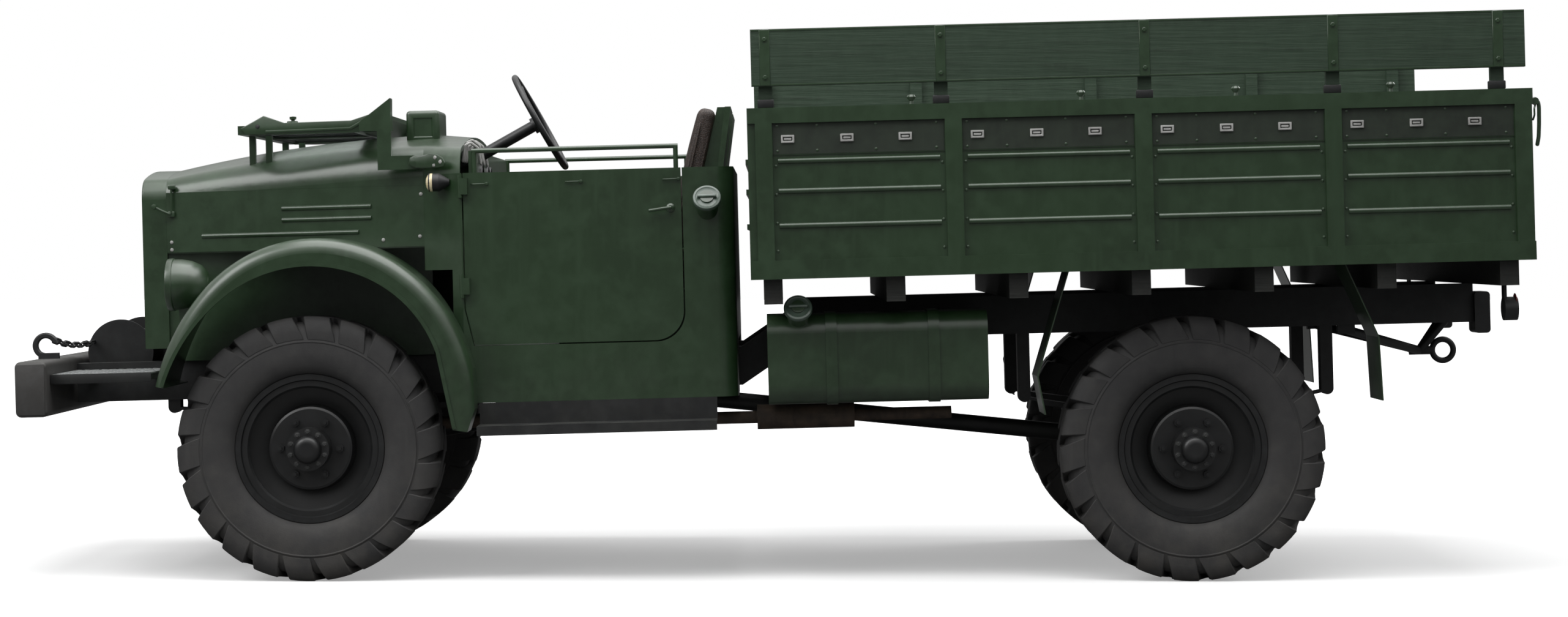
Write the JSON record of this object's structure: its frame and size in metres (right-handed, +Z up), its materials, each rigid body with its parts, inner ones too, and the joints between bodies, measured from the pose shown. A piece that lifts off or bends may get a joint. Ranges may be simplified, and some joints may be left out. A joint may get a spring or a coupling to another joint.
{
  "type": "military cargo truck",
  "caption": "Open-cab military cargo truck with all-wheel drive, front winch, folding windscreen, boarded cargo bed, opening doors and tailgate.",
  "frame": {"origin": "on the ground under the middle of the truck's overall box", "axes": "front is -X, the driver's side is -Y, +Z is up; wheels and axles stand level and the sprung body is pitched 1.5 degrees nose-down"},
  "size_m": [5.6547, 2.2, 2.1226],
  "materials": {
    "paint": "satin military green",
    "wood": "boards painted green",
    "black": "semi-gloss chassis black",
    "grey": "charcoal grey",
    "rubber": "worn tyre rubber",
    "glass": "clear pane",
    "lens": "lamp glass",
    "hide": "brown-black seat cover",
    "rust": "heat-browned silencer",
    "iron": "painted castings",
    "alloy": "radiator core"
  },
  "bodies": {
    "truck_body": {"aprons": "paint", "bed_floor": "wood", "bed_front": "paint", "bed_rear_sill": "paint", "bed_sides": "paint", "cab_tub": "paint", "chassis_frame": "black", "dashboard": "paint", "engine_block": "iron", "exhaust": "rust", "front_axle": "black", "front_bumper": "grey", "front_decks": "black", "fuel_tank": "paint", "gearboxes": "iron", "grille": "paint", "headlamp_lenses": "lens", "headlamps": "paint", "hood_sides": "paint", "hood_top": "paint", "leaf_springs": "black", "mudguards": "black", "prop_shafts": "black", "radiator": "alloy", "radiator_shell": "paint", "rear_axle": "black", "rear_buffers": "black", "rear_hitch": "black", "running_boards": "black", "seat_backs": "hide", "seat_cushions": "hide", "seat_frame": "paint", "steering_column": "black", "tail_lamps": "black", "tow_hooks": "black", "turn_signals": "lens", "upper_boards": "wood", "winch": "black", "wings": "paint"},
    "door_left_body": {"door_left": "paint"},
    "door_right_body": {"door_right": "paint"},
    "tailgate_body": {"tailgate": "paint"},
    "windscreen_body": {"windscreen_frame": "paint", "windscreen_glass": "glass"},
    "steering_wheel_body": {"steering_wheel": "black"},
    "knuckle_left_body": {"knuckle_left": "iron"},
    "knuckle_right_body": {"knuckle_right": "iron"},
    "tie_rod_body": {"tie_rod": "black"},
    "wheel_front_left_body": {"wheel_front_left": "paint", "tyre_front_left": "rubber"},
    "wheel_front_right_body": {"wheel_front_right": "paint", "tyre_front_right": "rubber"},
    "wheel_rear_left_body": {"wheel_rear_left": "paint", "tyre_rear_left": "rubber"},
    "wheel_rear_right_body": {"wheel_rear_right": "paint", "tyre_rear_right": "rubber"}
  },
  "joints": [
    {"name": "steer_left", "type": "hinge", "parent": "truck_body", "child": "knuckle_left_body", "pos_m": [-1.745, -0.64, 0.495], "axis": [0, 0, 1], "range_deg": [-26, 26]},
    {"name": "steer_right", "type": "hinge", "parent": "truck_body", "child": "knuckle_right_body", "pos_m": [-1.745, 0.64, 0.495], "axis": [0, 0, 1], "range_deg": [-26, 26]},
    {"name": "tie_rod_swing", "type": "hinge", "parent": "knuckle_left_body", "child": "tie_rod_body", "pos_m": [-1.555, -0.61, 0.35], "axis": [0, 0, 1], "range_deg": [-26, 26]},
    {"name": "steering_wheel_turn", "type": "hinge", "parent": "truck_body", "child": "steering_wheel_body", "pos_m": [-0.91864, -0.38, 1.73155], "axis": [0.8704, 0, 0.4924], "range_deg": [-520, 520]},
    {"name": "door_left_swing", "type": "hinge", "parent": "truck_body", "child": "door_left_body", "pos_m": [-1.18364, -0.844, 1.26945], "axis": [0.0262, 0, -0.9997], "range_deg": [0, 72]},
    {"name": "door_right_swing", "type": "hinge", "parent": "truck_body", "child": "door_right_body", "pos_m": [-1.18364, 0.844, 1.26945], "axis": [-0.0262, 0, 0.9997], "range_deg": [0, 72]},
    {"name": "tailgate_drop", "type": "hinge", "parent": "truck_body", "child": "tailgate_body", "pos_m": [2.80692, 0, 1.2239], "axis": [0, 1, 0], "range_deg": [0, 165]},
    {"name": "windscreen_raise", "type": "hinge", "parent": "truck_body", "child": "windscreen_body", "pos_m": [-1.36953, 0, 1.56869], "axis": [0, 1, 0], "range_deg": [0, 98]},
    {"name": "wheel_front_left_spin", "type": "hinge", "parent": "knuckle_left_body", "child": "wheel_front_left_body", "pos_m": [-1.745, -0.8, 0.495], "axis": [0, 1, 0], "continuous": true},
    {"name": "wheel_front_right_spin", "type": "hinge", "parent": "knuckle_right_body", "child": "wheel_front_right_body", "pos_m": [-1.745, 0.8, 0.495], "axis": [0, 1, 0], "continuous": true},
    {"name": "wheel_rear_left_spin", "type": "hinge", "parent": "truck_body", "child": "wheel_rear_left_body", "pos_m": [1.555, -0.8, 0.495], "axis": [0, 1, 0], "continuous": true},
    {"name": "wheel_rear_right_spin", "type": "hinge", "parent": "truck_body", "child": "wheel_rear_right_body", "pos_m": [1.555, 0.8, 0.495], "axis": [0, 1, 0], "continuous": true}
  ],
  "couplings": [
    {"joint": "steer_right", "follows": "steer_left", "ratio": 1},
    {"joint": "tie_rod_swing", "follows": "steer_left", "ratio": -1},
    {"joint": "steering_wheel_turn", "follows": "steer_left", "ratio": 20}
  ]
}
